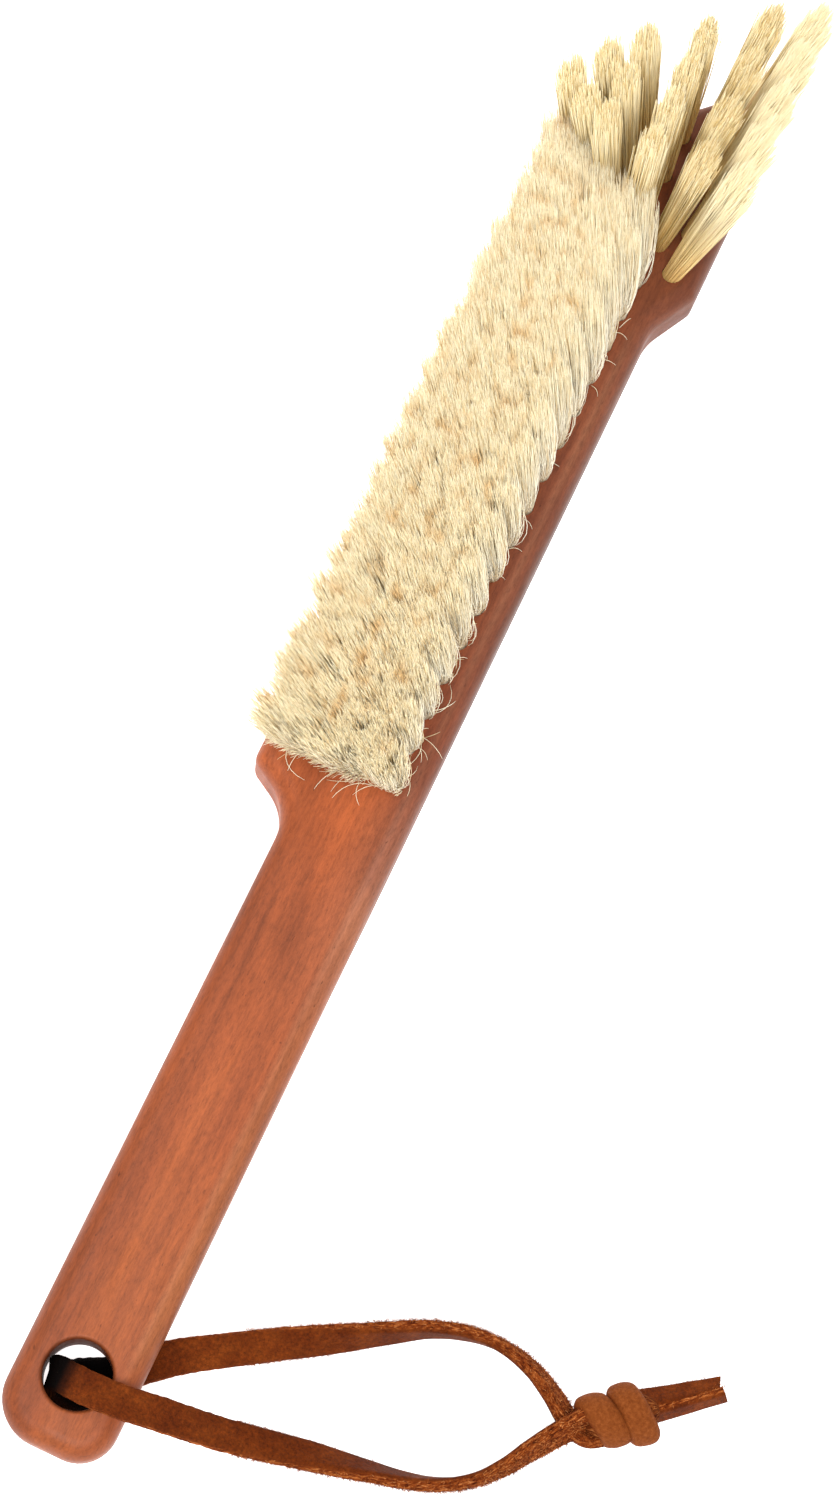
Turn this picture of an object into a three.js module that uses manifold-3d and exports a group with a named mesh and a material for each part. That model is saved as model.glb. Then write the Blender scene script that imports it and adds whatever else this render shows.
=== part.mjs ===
// A long-handled clothes brush: a one-piece pearwood body, a pad of soft bristle tufts, a fan of longer,
// stiffer tufts on the slanted far end, and a leather thong tied through the hanging hole.
// Millimetres. X runs across the brush, Y from the hanging hole to the far end, Z up out of the bristle face.
// Layout coordinates start at the hanging hole's axis, on the surface that the head's back rests on.
import * as THREE from 'three';
import { mergeVertices } from 'three/addons/utils/BufferGeometryUtils.js';
import Module from 'manifold-3d';

const wasm = await Module();
wasm.setup();

// Wood body
const FACE_Z = 15; // bristle face above the resting surface, which is also the head's thickness
const HANDLE_LIFT = 3.2; // the handle's back stands this far above the head's back
const LIFT_RAMP = { from: 92, to: 116, steps: 5 }; // where the handle's back comes down to the head's
const HANDLE_LEFT = -12.5;
const HANDLE_RIGHT = 12.1;
const HANDLE_END = -15.4;
const HEAD_LEFT = -23.8;
const FAR_RIGHT = 18;
const FAR_SLOPE = 1.03; // rise of the slanted far end for each millimetre across
const FAR_END_AT_AXIS = 315.5; // where the slanted far end crosses the hole's axis line
const EDGE_ROUND = 4.2;
const ROUND_STEPS = 3;
const CORNER_STEPS = 6;
const HANG_HOLE = { radius: 6.9, chamfer: 1.1, sides: 24 };

// Tufts
const TUFT_SIDES = 6;
const TUFT_HOLE_RADIUS = 2.2;
const TUFT_HOLE_FLOOR = 6;
const TUFT_ROOT_RADIUS = 1.8;
const GAP = 0.3;
const PAD = {
  columns: [-15.7, -5.85, 4], // outer and middle columns; two more stand halfway between them
  firstRow: 137.2,
  pitch: 8.65,
  fullRows: 31,
  partRows: 2, // beyond the full rows, with only their left tuft
  height: 27,
  leanX: -6.8,
  leanY: -2.3,
  spreadX: 0.96,
  spreadY: 1.075,
  tipHalfWidth: 5.4,
  tipHalfDepth: 2.4,
};
const FAN = {
  firstColumn: -18,
  columnPitch: 5.8,
  rowPitch: 11,
  height: 39,
  leanY: 2.2,
  tipRadius: 2.5,
  combs: [
    { count: 1, near: 287, leanX: -7.6 },
    { count: 2, near: 283.5, leanX: -7.4 },
    { count: 3, near: 277, leanX: -6.9 },
    { count: 4, near: 272.5, leanX: -2 },
    { count: 4, near: 278, leanX: 4.4 },
    { count: 5, near: 272.5, leanX: 8.6 },
  ],
};

// Leather thong: a flat strip, looped through the hole and knotted, with two short tails
const THONG = { width: 6.6, thickness: 2.6 };
const ROUTE_FRONT = [
  [0.2, -0.8, 9.2], [0.2, -1, 12.6], [1.2, -1.3, 15.8], [3.8, -1.6, 17], [7.4, -1.5, 17.2],
  [11.6, -1.1, 17.1], [17.4, -0.2, 16.2], [23.5, 0.7, 13.9], [30, 1.9, 10.8], [37, 3.5, 7.9], [47.5, 6, 4.6],
  [58.4, 8.2, 3.2], [66.5, 9.8, 3.2], [73, 11.9, 3.4], [79, 15.4, 3.5], [83.6, 20.2, 3.7], [87, 25.2, 4.4],
  [90, 29.5, 5.8], [92.6, 33.2, 6.9],
];
const ROUTE_BACK = [
  [0.2, -0.8, 8.8], [0.2, -0.8, 5.6], [1, -0.6, 2.9], [3, 0.1, 1.8], [5.6, 2.2, 1.6], [8.7, 6.2, 1.6],
  [12.4, 9.9, 1.6], [17.2, 13.6, 1.6], [22.8, 17.3, 1.6], [33, 23.5, 1.6], [43.7, 29.7, 1.7], [52.4, 35, 2.2],
  [60, 39.3, 2.9], [68, 41.8, 3.4], [75, 42, 3.5], [81.3, 40.5, 3.3], [87, 38, 2.7], [91.6, 36.2, 2.3],
];
const ROUTE_TAIL_UPPER = [[107.3, 46.4, 4.4], [110.2, 49.4, 4], [113.8, 52.9, 3.7], [117, 55.9, 3.6]];
const ROUTE_TAIL_LOWER = [[109.4, 44, 4.4], [112.4, 47, 4], [115.6, 50.2, 3.7], [118.9, 53.3, 3.6]];
const KNOT = {
  from: [95.2, 35], to: [107.2, 43.9], height: 4.4, flattening: 0.8, wrap: 5.2, waist: 4.5, end: 3.2,
};

const pearwood = new THREE.MeshStandardMaterial({ name: 'pearwood', color: 0xc0683f, roughness: 0.5 });
const softBristle = new THREE.MeshStandardMaterial({ name: 'soft_bristle', color: 0xf6e6c8, roughness: 0.7 });
const stiffBristle = new THREE.MeshStandardMaterial({
  name: 'stiff_bristle', color: 0xf0dcae, roughness: 0.6,
});
const leather = new THREE.MeshStandardMaterial({ name: 'leather', color: 0x8c4f22, roughness: 0.75 });

function toSolid(geometry) {
  const bare = geometry.clone();
  for (const name of Object.keys(bare.attributes)) {
    if (name !== 'position') bare.deleteAttribute(name);
  }
  const merged = mergeVertices(bare, 1e-4);
  return new wasm.Manifold(new wasm.Mesh({
    numProp: 3,
    vertProperties: new Float32Array(merged.attributes.position.array),
    triVerts: new Uint32Array(merged.index.array),
  }));
}

function toGeometry(solid) {
  const { vertProperties, triVerts } = solid.getMesh();
  const geometry = new THREE.BufferGeometry();
  geometry.setAttribute('position', new THREE.BufferAttribute(vertProperties, 3));
  geometry.setIndex(new THREE.BufferAttribute(triVerts, 1));
  geometry.computeVertexNormals();
  return geometry;
}

function indexedGeometry(vertices, triangles) {
  const geometry = new THREE.BufferGeometry();
  geometry.setAttribute('position', new THREE.Float32BufferAttribute(vertices.flat(), 3));
  geometry.setIndex(triangles.flat());
  return geometry;
}

// Corners of the body's outline, anticlockwise from above, each with the radius that rounds it off.
const shoulderRise = 0.583; // the near shoulder climbs this much for each millimetre across
const shoulderCornerY = 129.6;
const farCornerY = FAR_END_AT_AXIS + FAR_SLOPE * FAR_RIGHT;
const OUTLINE = [
  { x: HANDLE_LEFT, y: HANDLE_END, radius: 9.6 },
  { x: HANDLE_RIGHT, y: HANDLE_END, radius: 8 },
  { x: HANDLE_RIGHT, y: 259.2, radius: 14, hollow: true },
  { x: FAR_RIGHT, y: 270.8, radius: 3 },
  { x: FAR_RIGHT, y: farCornerY, radius: 6.5 },
  { x: HEAD_LEFT, y: FAR_END_AT_AXIS + FAR_SLOPE * HEAD_LEFT, radius: 8 },
  { x: HEAD_LEFT, y: shoulderCornerY, radius: 3 },
  {
    x: HANDLE_LEFT, y: shoulderCornerY - shoulderRise * (HANDLE_LEFT - HEAD_LEFT), radius: 12, hollow: true,
  },
];

// The outline drawn in by `inset`: every side moves inwards, convex corners tighten and hollow ones open out.
function insetOutline(inset) {
  const count = OUTLINE.length;
  const sides = OUTLINE.map((corner, i) => {
    const next = OUTLINE[(i + 1) % count];
    const along = new THREE.Vector2(next.x - corner.x, next.y - corner.y).normalize();
    const inward = new THREE.Vector2(-along.y, along.x);
    return { along, point: new THREE.Vector2(corner.x, corner.y).addScaledVector(inward, inset) };
  });
  return OUTLINE.map((corner, i) => {
    const before = sides[(i + count - 1) % count];
    const after = sides[i];
    const reach = after.point.clone().sub(before.point).cross(after.along) / before.along.cross(after.along);
    const vertex = before.point.clone().addScaledVector(before.along, reach);
    const radius = corner.hollow ? corner.radius + inset : Math.max(corner.radius - inset, 0.5);
    const turn = Math.acos(THREE.MathUtils.clamp(before.along.dot(after.along), -1, 1));
    const tangentLength = radius * Math.tan(turn / 2);
    const start = vertex.clone().addScaledVector(before.along, -tangentLength);
    const side = corner.hollow ? -1 : 1;
    const left = new THREE.Vector2(-before.along.y, before.along.x);
    const centre = start.clone().addScaledVector(left, side * radius);
    return Array.from({ length: CORNER_STEPS + 1 }, (_, step) =>
      start.clone().rotateAround(centre, (side * turn * step) / CORNER_STEPS));
  });
}

const rampStations = Array.from({ length: LIFT_RAMP.steps + 1 }, (_, i) =>
  THREE.MathUtils.lerp(LIFT_RAMP.from, LIFT_RAMP.to, i / LIFT_RAMP.steps));

function backHeight(y) {
  return HANDLE_LIFT * (1 - THREE.MathUtils.smoothstep(y, LIFT_RAMP.from, LIFT_RAMP.to));
}

// Closed loop of the inset outline, with matching points on both sides of the handle along the ramp.
function ring(inset) {
  const corners = insetOutline(inset);
  const rightSide = rampStations.map((y) => new THREE.Vector2(HANDLE_RIGHT - inset, y));
  const leftSide = rampStations.map((y) => new THREE.Vector2(HANDLE_LEFT + inset, y)).reverse();
  return [...corners[0], ...corners[1], ...rightSide, ...corners.slice(2).flat(), ...leftSide];
}

function bodyBlank() {
  const levels = [];
  for (let step = 0; step <= ROUND_STEPS; step += 1) {
    const angle = (step / ROUND_STEPS) * (Math.PI / 2);
    levels.push({ inset: EDGE_ROUND * (1 - Math.sin(angle)), depth: EDGE_ROUND * (1 - Math.cos(angle)) });
  }
  const bottom = levels.map(({ inset, depth }) => (
    ring(inset).map((p) => [p.x, p.y, backHeight(p.y) + depth])));
  const top = levels.map(({ inset, depth }) => ring(inset).map((p) => [p.x, p.y, FACE_Z - depth])).reverse();
  const rings = [...bottom, ...top];
  const size = rings[0].length;
  const triangles = [];
  for (let level = 0; level + 1 < rings.length; level += 1) {
    for (let i = 0; i < size; i += 1) {
      const a = level * size + i;
      const b = level * size + ((i + 1) % size);
      triangles.push([a, b, b + size], [a, b + size, a + size]);
    }
  }
  const lastLevel = (rings.length - 1) * size;
  for (const [a, b, c] of capTriangles(ring(EDGE_ROUND))) {
    triangles.push([c, b, a], [lastLevel + a, lastLevel + b, lastLevel + c]);
  }
  return toSolid(indexedGeometry(rings.flat(), triangles));
}

// The flat faces: the rounded handle end, then strips along the ramp, then the rest.
function capTriangles(loop) {
  const rightStart = 2 * (CORNER_STEPS + 1);
  const rightEnd = rightStart + rampStations.length - 1;
  const leftEnd = loop.length - 1;
  const leftStart = loop.length - rampStations.length;
  const range = (from, to) => Array.from({ length: to - from + 1 }, (_, i) => from + i);
  const triangles = [];
  for (const part of [[...range(0, rightStart), leftEnd], range(rightEnd, leftStart)]) {
    for (const face of THREE.ShapeUtils.triangulateShape(part.map((i) => loop[i]), [])) {
      const corners = face.map((k) => part[k]);
      const [p, q, r] = corners.map((i) => loop[i]);
      const anticlockwise = q.clone().sub(p).cross(r.clone().sub(p)) > 0;
      triangles.push(anticlockwise ? corners : corners.reverse());
    }
  }
  for (let k = 0; k + 1 < rampStations.length; k += 1) {
    const right = rightStart + k;
    const left = leftEnd - k;
    triangles.push([right, right + 1, left - 1], [right, left - 1, left]);
  }
  return triangles;
}

// A tuft or a tuft hole: a stack of six-sided sections, each { x, y, z, halfWidth, halfDepth }.
function stack(sections) {
  const vertices = [];
  const triangles = [];
  for (const { x, y, z, halfWidth, halfDepth } of sections) {
    for (let k = 0; k < TUFT_SIDES; k += 1) {
      const angle = (k / TUFT_SIDES) * 2 * Math.PI;
      vertices.push([x + halfWidth * Math.cos(angle), y + halfDepth * Math.sin(angle), z]);
    }
  }
  const lastLevel = (sections.length - 1) * TUFT_SIDES;
  for (let start = 0; start < lastLevel; start += TUFT_SIDES) {
    for (let k = 0; k < TUFT_SIDES; k += 1) {
      const a = start + k;
      const b = start + ((k + 1) % TUFT_SIDES);
      triangles.push([a, b, b + TUFT_SIDES], [a, b + TUFT_SIDES, a + TUFT_SIDES]);
    }
  }
  for (let k = 1; k + 1 < TUFT_SIDES; k += 1) {
    triangles.push([0, k + 1, k], [lastLevel, lastLevel + k, lastLevel + k + 1]);
  }
  return toSolid(indexedGeometry(vertices, triangles));
}

function roundSection(x, y, z, radius) {
  return { x, y, z, halfWidth: radius, halfDepth: radius };
}

const padMiddleX = PAD.columns[1];
const padMiddleY = PAD.firstRow + (PAD.pitch * (PAD.fullRows - 1)) / 4;
const betweenColumns = [0, 1].map((i) => (PAD.columns[i] + PAD.columns[i + 1]) / 2);

// Rows of the pad from the handle outwards: three tufts, then two set halfway between them, and so on.
const padRows = Array.from({ length: PAD.fullRows + PAD.partRows }, (_, i) => ({
  y: PAD.firstRow + (PAD.pitch * i) / 2,
  columns: (i % 2 === 0 ? PAD.columns : betweenColumns).slice(0, i < PAD.fullRows ? 3 : 1),
}));

const fanTufts = FAN.combs.flatMap(({ count, near, leanX }, comb) =>
  Array.from({ length: count }, (_, row) => ({
    name: `fan_tuft_${comb + 1}_${row + 1}`,
    x: FAN.firstColumn + FAN.columnPitch * comb,
    y: near + FAN.rowPitch * row,
    leanX,
  })));

function tuftHole(x, y) {
  return stack([
    roundSection(x, y, TUFT_HOLE_FLOOR, TUFT_HOLE_RADIUS),
    roundSection(x, y, FACE_Z + 1, TUFT_HOLE_RADIUS),
  ]);
}

function hangingHole() {
  const { radius, chamfer, sides } = HANG_HOLE;
  const profile = [
    [0, HANDLE_LIFT - 1],
    [radius + chamfer, HANDLE_LIFT - 1],
    [radius + chamfer, HANDLE_LIFT],
    [radius, HANDLE_LIFT + chamfer],
    [radius, FACE_Z - chamfer],
    [radius + chamfer, FACE_Z],
    [radius + chamfer, FACE_Z + 1],
    [0, FACE_Z + 1],
  ].map(([r, height]) => new THREE.Vector2(r, height));
  return toSolid(new THREE.LatheGeometry(profile, sides).rotateX(Math.PI / 2));
}

function woodBody() {
  let body = bodyBlank().subtract(hangingHole());
  for (const { y, columns } of padRows) {
    for (const x of columns) body = body.subtract(tuftHole(x, y));
  }
  for (const { x, y } of fanTufts) body = body.subtract(tuftHole(x, y));
  return toGeometry(body);
}

function padTuft(x, y) {
  const tipX = padMiddleX + PAD.leanX + (x - padMiddleX) * PAD.spreadX;
  const tipY = padMiddleY + PAD.leanY + (y - padMiddleY) * PAD.spreadY;
  return stack([
    roundSection(x, y, TUFT_HOLE_FLOOR + GAP, TUFT_ROOT_RADIUS),
    roundSection(x, y, FACE_Z, TUFT_ROOT_RADIUS),
    { x: tipX, y: tipY, z: FACE_Z + PAD.height, halfWidth: PAD.tipHalfWidth, halfDepth: PAD.tipHalfDepth },
  ]);
}

function padRow({ y, columns }) {
  return toGeometry(columns.map((x) => padTuft(x, y)).reduce((row, tuft) => row.add(tuft)));
}

function fanTuft({ x, y, leanX }) {
  return toGeometry(stack([
    roundSection(x, y, TUFT_HOLE_FLOOR + GAP, TUFT_ROOT_RADIUS),
    roundSection(x, y, FACE_Z, TUFT_ROOT_RADIUS),
    roundSection(x + leanX, y + FAN.leanY, FACE_Z + FAN.height, FAN.tipRadius),
  ]));
}

// An eight-sided strip along a route; `flat` lays its width level, otherwise it stands on its edge.
function strip(route, steps, flat) {
  const long = THONG.width / 2;
  const short = THONG.thickness / 2;
  const cut = short * 0.5;
  const [halfN, halfB] = flat ? [short, long] : [long, short];
  const section = new THREE.Shape([
    [halfN, halfB - cut], [halfN - cut, halfB], [cut - halfN, halfB], [-halfN, halfB - cut],
    [-halfN, cut - halfB], [cut - halfN, -halfB], [halfN - cut, -halfB], [halfN, cut - halfB],
  ].map(([n, b]) => new THREE.Vector2(n, b)));
  const points = route.map((p) => new THREE.Vector3(...p)).reverse();
  const extrudePath = new THREE.CatmullRomCurve3(points, false, 'centripetal');
  return new THREE.ExtrudeGeometry(section, { steps, bevelEnabled: false, extrudePath });
}

// Two fat turns of the strip round both branches, a little flattened.
function knot() {
  const from = new THREE.Vector3(...KNOT.from, KNOT.height);
  const to = new THREE.Vector3(...KNOT.to, KNOT.height);
  const length = from.distanceTo(to);
  const profile = [
    [0, 0], [KNOT.end, 0], [KNOT.wrap, 0.15], [KNOT.wrap, 0.42], [KNOT.waist, 0.5],
    [KNOT.wrap, 0.58], [KNOT.wrap, 0.85], [KNOT.end, 1], [0, 1],
  ].map(([r, share]) => new THREE.Vector2(r, share * length));
  const turn = new THREE.Quaternion().setFromUnitVectors(
    new THREE.Vector3(0, 1, 0), to.clone().sub(from).normalize());
  return new THREE.LatheGeometry(profile, 12)
    .applyQuaternion(turn)
    .scale(1, 1, KNOT.flattening)
    .translate(from.x, from.y, from.z);
}

const brush = new THREE.Group();
const rigidPieces = new THREE.Group();
const thong = new THREE.Group();
brush.add(rigidPieces, thong);

function addPiece(group, name, geometry, material) {
  const mesh = new THREE.Mesh(geometry, material);
  mesh.name = name;
  group.add(mesh);
}

addPiece(rigidPieces, 'wood_body', woodBody(), pearwood);
padRows.forEach((row, i) => {
  addPiece(rigidPieces, `pad_row_${String(i + 1).padStart(2, '0')}`, padRow(row), softBristle);
});
fanTufts.forEach((tuft) => addPiece(rigidPieces, tuft.name, fanTuft(tuft), stiffBristle));
addPiece(thong, 'thong_front', strip(ROUTE_FRONT, 56, true), leather);
addPiece(thong, 'thong_back', strip(ROUTE_BACK, 52, true), leather);
addPiece(thong, 'thong_knot', knot(), leather);
addPiece(thong, 'thong_tail_upper', strip(ROUTE_TAIL_UPPER, 6, false), leather);
addPiece(thong, 'thong_tail_lower', strip(ROUTE_TAIL_LOWER, 6, false), leather);

// The part's origin is under the middle of the brush without its thong, on the resting surface.
const box = new THREE.Box3().setFromObject(rigidPieces);
const middle = box.getCenter(new THREE.Vector3());
brush.position.set(-middle.x, -middle.y, -box.min.z);

export default brush;
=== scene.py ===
"""A long-handled clothes brush lying on its back.

It has a pearwood body, a pad of soft bristle, a fan of stiff bristle at the far end, and a leather thong.
"""
import math
from collections import namedtuple

import bmesh
import bpy
import numpy as np
from mathutils import Matrix, Vector, noise as mathnoise


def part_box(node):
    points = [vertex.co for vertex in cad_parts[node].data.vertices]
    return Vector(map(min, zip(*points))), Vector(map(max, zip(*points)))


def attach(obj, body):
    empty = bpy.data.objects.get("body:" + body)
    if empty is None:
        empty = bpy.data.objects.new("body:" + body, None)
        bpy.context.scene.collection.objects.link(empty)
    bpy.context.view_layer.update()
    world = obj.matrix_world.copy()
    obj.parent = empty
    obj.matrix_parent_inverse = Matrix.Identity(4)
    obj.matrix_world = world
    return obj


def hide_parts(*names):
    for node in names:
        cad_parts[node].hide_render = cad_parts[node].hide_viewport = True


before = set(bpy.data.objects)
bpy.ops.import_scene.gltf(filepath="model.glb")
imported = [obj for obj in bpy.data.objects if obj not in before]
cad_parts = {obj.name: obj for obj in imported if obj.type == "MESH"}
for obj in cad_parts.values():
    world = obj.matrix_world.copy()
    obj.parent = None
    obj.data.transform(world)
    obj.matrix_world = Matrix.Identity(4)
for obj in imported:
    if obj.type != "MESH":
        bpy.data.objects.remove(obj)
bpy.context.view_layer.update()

MM = 0.001
UP = np.array([0.0, 0.0, 1.0])

# Layout coordinates, as in the part: millimetres from the hanging hole's axis, on the resting surface.
HEAD_LEFT, HANDLE_END = -23.8, -15.4
wood_low, wood_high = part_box("wood_body")
ORIGIN = np.array([wood_low[0] - HEAD_LEFT * MM, wood_low[1] - HANDLE_END * MM, 0.0])
FACE_Z = (wood_high[2] - wood_low[2]) / MM


def row(points):
    """Layout millimetres to the row frame's metres."""
    return np.asarray(points, float) * MM + ORIGIN


# ---------------------------------------------------------------- camera

CAMERA_AT = (41.14, -51.69, 612.12)
CAMERA_AIM = (6.81, 145.92, 15.0)
CAMERA_ROLL = math.radians(25.91)
CAMERA_LENS = 71.93


def make_camera():
    data = bpy.data.cameras.new("camera")
    data.lens = CAMERA_LENS
    data.clip_start, data.clip_end = 0.02, 20
    camera = bpy.data.objects.new("camera", data)
    bpy.context.collection.objects.link(camera)
    at, aim = Vector(row(CAMERA_AT)), Vector(row(CAMERA_AIM))
    forward = (aim - at).normalized()
    right = forward.cross(Vector((0, 1, 0))).normalized()
    up = right.cross(forward)
    level = Matrix((right, up, -forward)).transposed().to_4x4()
    camera.matrix_world = Matrix.Translation(at) @ level @ Matrix.Rotation(CAMERA_ROLL, 4, "Z")
    bpy.context.scene.camera = camera


# ---------------------------------------------------------------- material helpers

def srgb(r, g, b):
    """8-bit sRGB to linear."""
    shares = (r / 255, g / 255, b / 255)
    return tuple(c / 12.92 if c <= 0.04045 else ((c + 0.055) / 1.055) ** 2.4 for c in shares)


def new_material(name, roughness, **sockets):
    material = bpy.data.materials.new(name)
    material.use_nodes = True
    shader = material.node_tree.nodes["Principled BSDF"]
    shader.inputs["Roughness"].default_value = roughness
    for socket, value in sockets.items():
        shader.inputs[socket.replace("_", " ")].default_value = value
    return material, material.node_tree, shader


def add_node(tree, kind, inputs, **settings):
    node = tree.nodes.new(kind)
    for key, value in settings.items():
        setattr(node, key, value)
    for key, value in inputs.items():
        put(tree, node.inputs[key], value)
    return node


def put(tree, socket, value):
    if isinstance(value, bpy.types.NodeSocket):
        tree.links.new(value, socket)
    elif isinstance(value, tuple) and socket.type == "RGBA":
        socket.default_value = (*value, 1)
    else:
        socket.default_value = value


def ramp(tree, factor, *stops):
    """Colours, or greys, at positions from 0 to 1."""
    node = add_node(tree, "ShaderNodeValToRGB", {"Fac": factor})
    elements = node.color_ramp.elements
    while len(elements) < len(stops):
        elements.new(0.5)
    for element, (position, colour) in zip(elements, stops):
        element.position = position
        element.color = (*colour, 1) if isinstance(colour, tuple) else (colour, colour, colour, 1)
    return node.outputs["Color"]


def mix(tree, factor, a, b, blend="MIX"):
    """Two colours mixed. The node has sockets for every kind of value, so these go by their places."""
    node = add_node(tree, "ShaderNodeMix", {}, data_type="RGBA", blend_type=blend)
    for index, value in ((0, factor), (6, a), (7, b)):
        put(tree, node.inputs[index], value)
    return node.outputs[2]


def multiply(tree, a, b):
    return mix(tree, 1.0, a, b, "MULTIPLY")


def math_node(tree, operation, a, b):
    return add_node(tree, "ShaderNodeMath", {0: a, 1: b}, operation=operation).outputs[0]


def vector_math(tree, operation, a, b=(0, 0, 0)):
    return add_node(tree, "ShaderNodeVectorMath", {0: a, 1: b}, operation=operation).outputs


def noise(tree, vector, scale, detail, roughness, distortion=0.0):
    inputs = {"Vector": vector, "Scale": scale, "Detail": detail, "Roughness": roughness,
              "Distortion": distortion}
    return add_node(tree, "ShaderNodeTexNoise", inputs).outputs["Fac"]


def object_place(tree):
    return add_node(tree, "ShaderNodeTexCoord", {}).outputs["Object"]


def millimetres(tree, along=1.0):
    """Object coordinates in millimetres. A low `along` draws a pattern out along the brush."""
    inputs = {"Vector": object_place(tree), "Scale": (1 / MM, along / MM, 1 / MM)}
    return add_node(tree, "ShaderNodeMapping", inputs).outputs["Vector"]


def attribute(tree, name):
    return add_node(tree, "ShaderNodeAttribute", {}, attribute_name=name).outputs["Fac"]


def bump(tree, shader, height, strength, distance_mm):
    node = add_node(
        tree, "ShaderNodeBump", {"Height": height, "Strength": strength, "Distance": distance_mm * MM})
    tree.links.new(node.outputs["Normal"], shader.inputs["Normal"])


# ---------------------------------------------------------------- mesh helpers

def new_piece(name, vertices, loops, starts, material, values):
    """A smooth-shaded mesh from arrays: vertices in layout millimetres, values are floats at each vertex."""
    mesh = bpy.data.meshes.new(name)
    mesh.vertices.add(len(vertices))
    mesh.vertices.foreach_set("co", row(vertices).astype(np.float32).ravel())
    mesh.loops.add(len(loops))
    mesh.loops.foreach_set("vertex_index", np.asarray(loops, np.int32))
    mesh.polygons.add(len(starts))
    mesh.polygons.foreach_set("loop_start", np.asarray(starts, np.int32))
    mesh.polygons.foreach_set("use_smooth", np.ones(len(starts), bool))
    mesh.materials.append(material)
    mesh.update(calc_edges=True)
    mesh.validate()
    for key, data in values.items():
        layer = mesh.attributes.new(key, "FLOAT", "POINT")
        layer.data.foreach_set("value", np.asarray(data, np.float32).ravel())
    piece = bpy.data.objects.new(name, mesh)
    bpy.context.collection.objects.link(piece)
    return piece


def faces_to_loops(faces):
    sizes = [len(f) for f in faces]
    return np.concatenate([np.asarray(f) for f in faces]), np.concatenate([[0], np.cumsum(sizes)[:-1]])


def lofted(rings):
    """Vertices and faces of closed rings joined in order, with a flat cap at each end."""
    count, size = len(rings), len(rings[0])
    faces = [
        (level * size + i, level * size + (i + 1) % size,
         (level + 1) * size + (i + 1) % size, (level + 1) * size + i)
        for level in range(count - 1) for i in range(size)
    ]
    faces.append(tuple(reversed(range(size))))
    faces.append(tuple(range((count - 1) * size, count * size)))
    return np.concatenate(rings), faces


HAIR_SIDES = 3


def strands(name, paths, radii, material, values, seed):
    """Many tapered hairs in one mesh.

    paths is (hairs, points, 3) in layout millimetres, radii is (hairs, points), and each of the values
    is a float at every point of every hair, or of one hair, or of one point.
    """
    hairs, points, _ = paths.shape
    sides = HAIR_SIDES
    along = np.gradient(paths, axis=1)
    along /= np.linalg.norm(along, axis=2, keepdims=True)
    pick = np.random.default_rng(seed).normal(size=(hairs, 1, 3))
    across = np.cross(along, pick)
    across /= np.linalg.norm(across, axis=2, keepdims=True)
    other = np.cross(along, across)
    angles = np.arange(sides) * (2 * np.pi / sides)
    ring = (np.cos(angles)[:, None] * across[:, :, None] + np.sin(angles)[:, None] * other[:, :, None])
    vertices = (paths[:, :, None] + radii[:, :, None, None] * ring).reshape(-1, 3)
    base = np.arange(hairs)[:, None, None] * points * sides
    level = np.arange(points - 1)[None, :, None] * sides
    side = np.arange(sides)[None, None, :]
    turn = (side + 1) % sides
    quads = np.stack([base + level + side, base + level + turn,
                      base + level + sides + turn, base + level + sides + side], -1).reshape(-1, 4)
    tips = (base[:, 0] + (points - 1) * sides + np.arange(sides)).reshape(hairs, sides)
    loops = np.concatenate([quads.ravel(), tips.ravel()])
    starts = np.concatenate([np.arange(len(quads)) * 4, len(quads) * 4 + np.arange(hairs) * sides])
    spread = {key: np.repeat(np.broadcast_to(data, (hairs, points)).reshape(-1), sides)
              for key, data in values.items()}
    return new_piece(name, vertices, loops, starts, material, spread)


def unit(vectors):
    return vectors / np.linalg.norm(vectors, axis=-1, keepdims=True)


def rough(points, size, seed):
    """Smooth random values, about -1 to 1, at points in millimetres; features are about `size` wide."""
    shift = np.array([seed * 17.3, seed * 5.1, 0])
    return np.array([mathnoise.noise(Vector(p)) for p in points / size + shift])


# ---------------------------------------------------------------- leather thong

STRAP_WIDTH, STRAP_THICKNESS = 6.8, 2.6
TAIL_WIDTH, TAIL_THICKNESS = 5.2, 2
TURN_THICKNESS = 3.2  # of the strip where it is pulled round the knot
ROUTE_STEP = 0.5

# Both branches start in the hanging hole and end in the knot.
ROUTE_FRONT = [
    (-4.5, -1.0, 9), (-4.2, -1.1, 11.4), (-2.6, -1.3, 14), (0.4, -1.6, 16.1), (3.8, -1.7, 17),
    (7.8, -1.5, 17.2), (12, -1.1, 17), (17.4, -0.2, 16.2), (23.5, 0.7, 13.9), (30, 1.9, 10.8),
    (37, 3.5, 7.9), (47.5, 6, 4.6), (58.4, 8.2, 3.4), (66.5, 9.8, 3.4), (73, 11.9, 3.6), (79, 15.4, 3.8),
    (83.6, 20.2, 4.2), (87, 25.2, 5), (90, 29.5, 5.8), (93, 33.4, 6), (96.5, 37, 5.6), (100.5, 39.6, 4.8),
]
ROUTE_BACK = [
    (-4.5, -1.4, 9), (-4.2, -1.9, 6.4), (-3.0, -2.2, 3.8), (-0.6, -1.4, 2.2), (2.9, 1.4, 1.6),
    (7.0, 5.3, 1.5), (11.3, 9.2, 1.5), (16, 12.9, 1.5), (22.8, 17.3, 1.6), (33, 23.5, 1.6),
    (43.7, 29.7, 1.9), (52.4, 35, 2.6), (60, 39.3, 3.3), (68, 41.8, 3.5), (75, 42, 3.6), (81.3, 40.5, 3.5),
    (87, 37.6, 3), (92, 34.4, 2.7), (96.5, 33.4, 2.9), (100.5, 36.4, 3.6),
]
ROUTE_UPPER_TAIL = [
    (103, 43.8, 4.2), (106.6, 46.3, 3.8), (110, 48.7, 3.6), (114, 51.6, 3.4), (117.2, 53.9, 3.3),
]
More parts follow.
